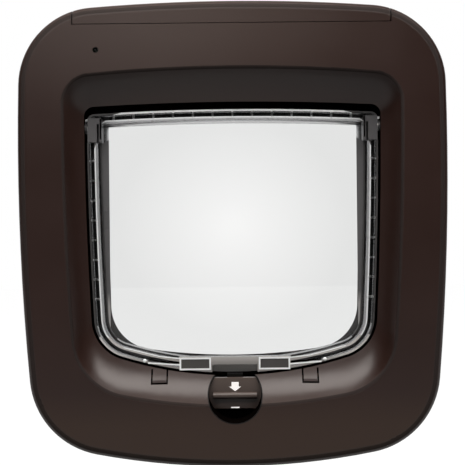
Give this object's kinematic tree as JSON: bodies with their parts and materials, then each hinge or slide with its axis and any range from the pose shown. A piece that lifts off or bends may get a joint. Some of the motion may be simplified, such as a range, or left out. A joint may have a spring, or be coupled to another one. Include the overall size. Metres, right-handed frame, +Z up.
{
  "type": "cat flap",
  "caption": "Electronic cat flap for a door: dished brown frame, clear swinging flap with a laddered rim, lock slide, battery cover, and an outer frame with a telescoping tunnel.",
  "frame": {"origin": "middle of the four fixing screws, in the plane of the door's inner face", "axes": "+X to the right seen from the room, +Z up, -Y towards the room, +Y out through the door"},
  "size_m": [0.2134, 0.086, 0.2312],
  "materials": {
    "frame_plastic": "satin moulded brown",
    "housing_plastic": "moulded, unpainted brown",
    "slider_plastic": "satin moulded brown",
    "clear_plastic": "clear, faintly smoky",
    "smoke_plastic": "grey translucent",
    "pile": "black pile",
    "magnet": "dark grey sintered",
    "steel": "zinc plated",
    "contact_metal": "nickel plated",
    "cell_wrap": "printed sleeve, left plain",
    "button_plastic": "moulded pale grey",
    "board": "solder mask",
    "light_pipe": "clear red",
    "copper_winding": "enamelled wire",
    "solenoid_case": "blackened"
  },
  "bodies": {
    "housing": {"interior_frame": "frame_plastic", "inner_housing": "housing_plastic", "exterior_frame": "frame_plastic", "fixing_screws": "steel", "battery_tray": "housing_plastic", "battery_1": "cell_wrap", "battery_2": "cell_wrap", "battery_3": "cell_wrap", "battery_4": "cell_wrap", "battery_contacts": "contact_metal", "control_board": "board", "board_screws": "steel", "status_light": "light_pipe", "antenna_coil": "copper_winding", "hinge_bush_left": "smoke_plastic", "hinge_bush_right": "smoke_plastic", "latch_solenoid": "solenoid_case", "sill_magnet_left": "magnet", "sill_magnet_right": "magnet"},
    "flap": {"flap_panel": "clear_plastic", "draught_brush": "pile", "flap_magnet_left": "magnet", "flap_magnet_right": "magnet", "hinge_clip_left": "smoke_plastic", "hinge_clip_right": "smoke_plastic", "hinge_pin_left": "steel", "hinge_pin_right": "steel"},
    "cover": {"battery_cover": "frame_plastic"},
    "slider": {"lock_slider": "slider_plastic"},
    "latch": {"latch_tongue": "steel"},
    "button": {"learn_button": "button_plastic"}
  },
  "joints": [
    {"name": "flap_swing", "type": "hinge", "parent": "housing", "child": "flap", "pos_m": [0, -0.0182, 0.0538], "axis": [1, 0, 0], "range_deg": [-80, 80]},
    {"name": "lock_slide", "type": "slide", "parent": "housing", "child": "slider", "axis": [0, 0, -1], "range_m": [0, 0.0038]},
    {"name": "latch_lift", "type": "slide", "parent": "housing", "child": "latch", "axis": [0, 0, 1], "range_m": [0, 0.004]},
    {"name": "cover_lift", "type": "slide", "parent": "housing", "child": "cover", "axis": [0, 0, 1], "range_m": [0, 0.03]},
    {"name": "button_press", "type": "slide", "parent": "housing", "child": "button", "axis": [0, 0, -1], "range_m": [0, 0.0012], "stiffness_N_per_m": 300, "springref_m": -0.0003}
  ]
}
